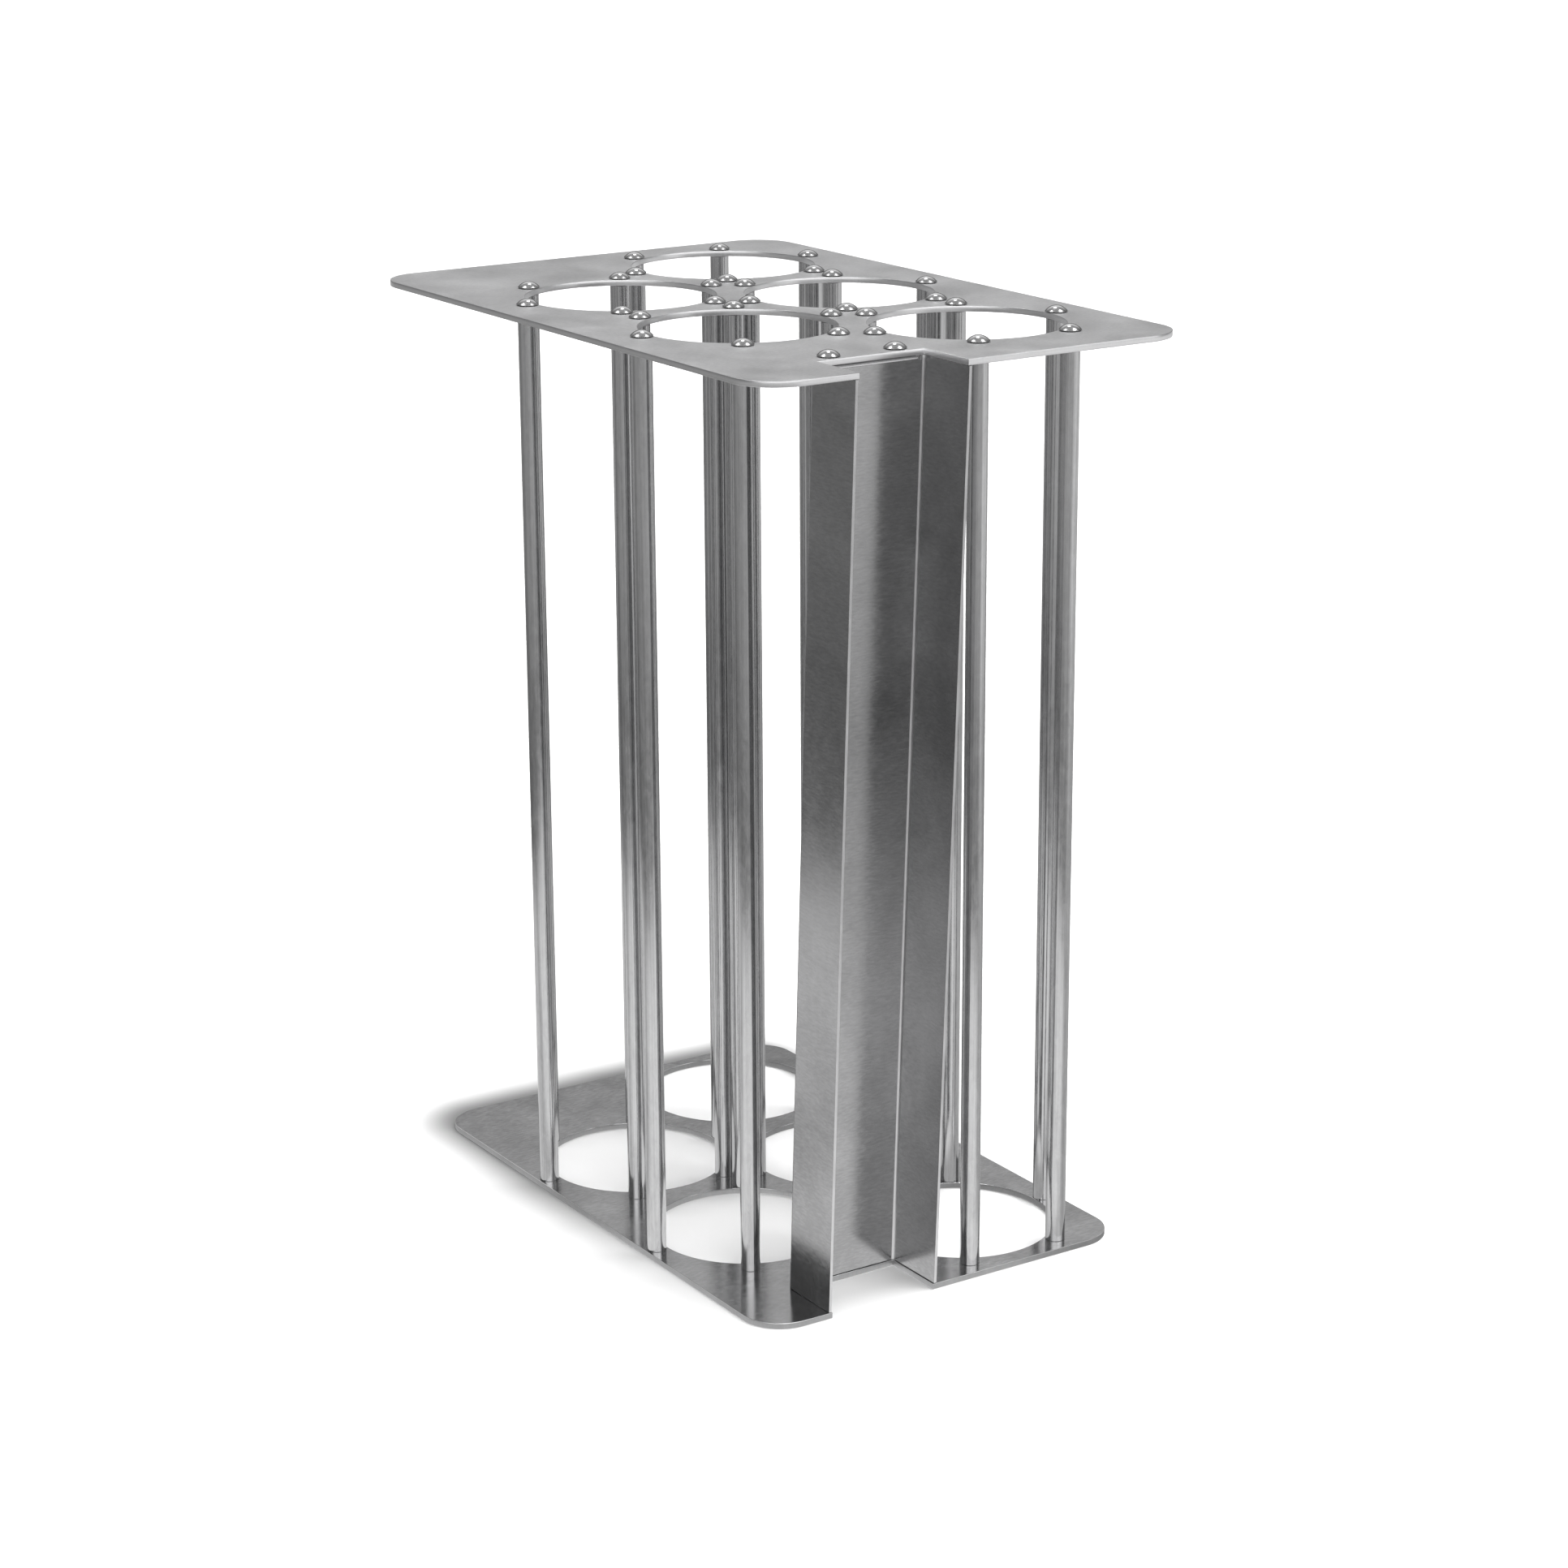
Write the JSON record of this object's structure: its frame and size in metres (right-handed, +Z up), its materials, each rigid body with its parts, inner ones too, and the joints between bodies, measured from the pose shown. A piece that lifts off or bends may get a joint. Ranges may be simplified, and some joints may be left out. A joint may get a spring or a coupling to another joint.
{
  "type": "umbrella stand",
  "caption": "Free-standing steel umbrella stand: round cells cut through a wide top plate and a smaller base plate, joined by upright rods and a leaning front channel.",
  "frame": {"origin": "on the floor under the middle of the top plate, which is the bottom centre of the whole object's box", "axes": "+Z up along the rods; the notched front edge with the channel faces -Y; +X is the right-hand side seen from the front"},
  "size_m": [0.243, 0.37, 0.4723],
  "materials": {
    "top_sheet": "satin, fine grain, bright cut edges",
    "bottom_sheet": "smooth satin that mirrors the rods softly",
    "channel_sheet": "satin, faint mill marks",
    "rod": "drawn bright bar with faint lengthwise streaks",
    "rivet": "bright, domed"
  },
  "bodies": {
    "root": {"top_plate": "top_sheet", "bottom_plate": "bottom_sheet", "front_channel": "channel_sheet", "rod_c1_000": "rod", "rod_c1_060": "rod", "rod_c1_120": "rod", "rod_c1_180": "rod", "rod_c1_240": "rod", "rod_c1_300": "rod", "rod_c2_000": "rod", "rod_c2_060": "rod", "rod_c2_120": "rod", "rod_c2_180": "rod", "rod_c2_240": "rod", "rod_c2_300": "rod", "rod_c3_000": "rod", "rod_c3_060": "rod", "rod_c3_120": "rod", "rod_c3_180": "rod", "rod_c3_240": "rod", "rod_c3_300": "rod", "rod_c4_000": "rod", "rod_c4_060": "rod", "rod_c4_120": "rod", "rod_c4_180": "rod", "rod_c4_240": "rod", "rod_c4_300": "rod", "rod_c5_000": "rod", "rod_c5_060": "rod", "rod_c5_120": "rod", "rod_c5_180": "rod", "rod_c5_240": "rod", "rod_c5_300": "rod", "channel_rivet_left": "rivet", "channel_rivet_right": "rivet"}
  },
  "joints": []
}
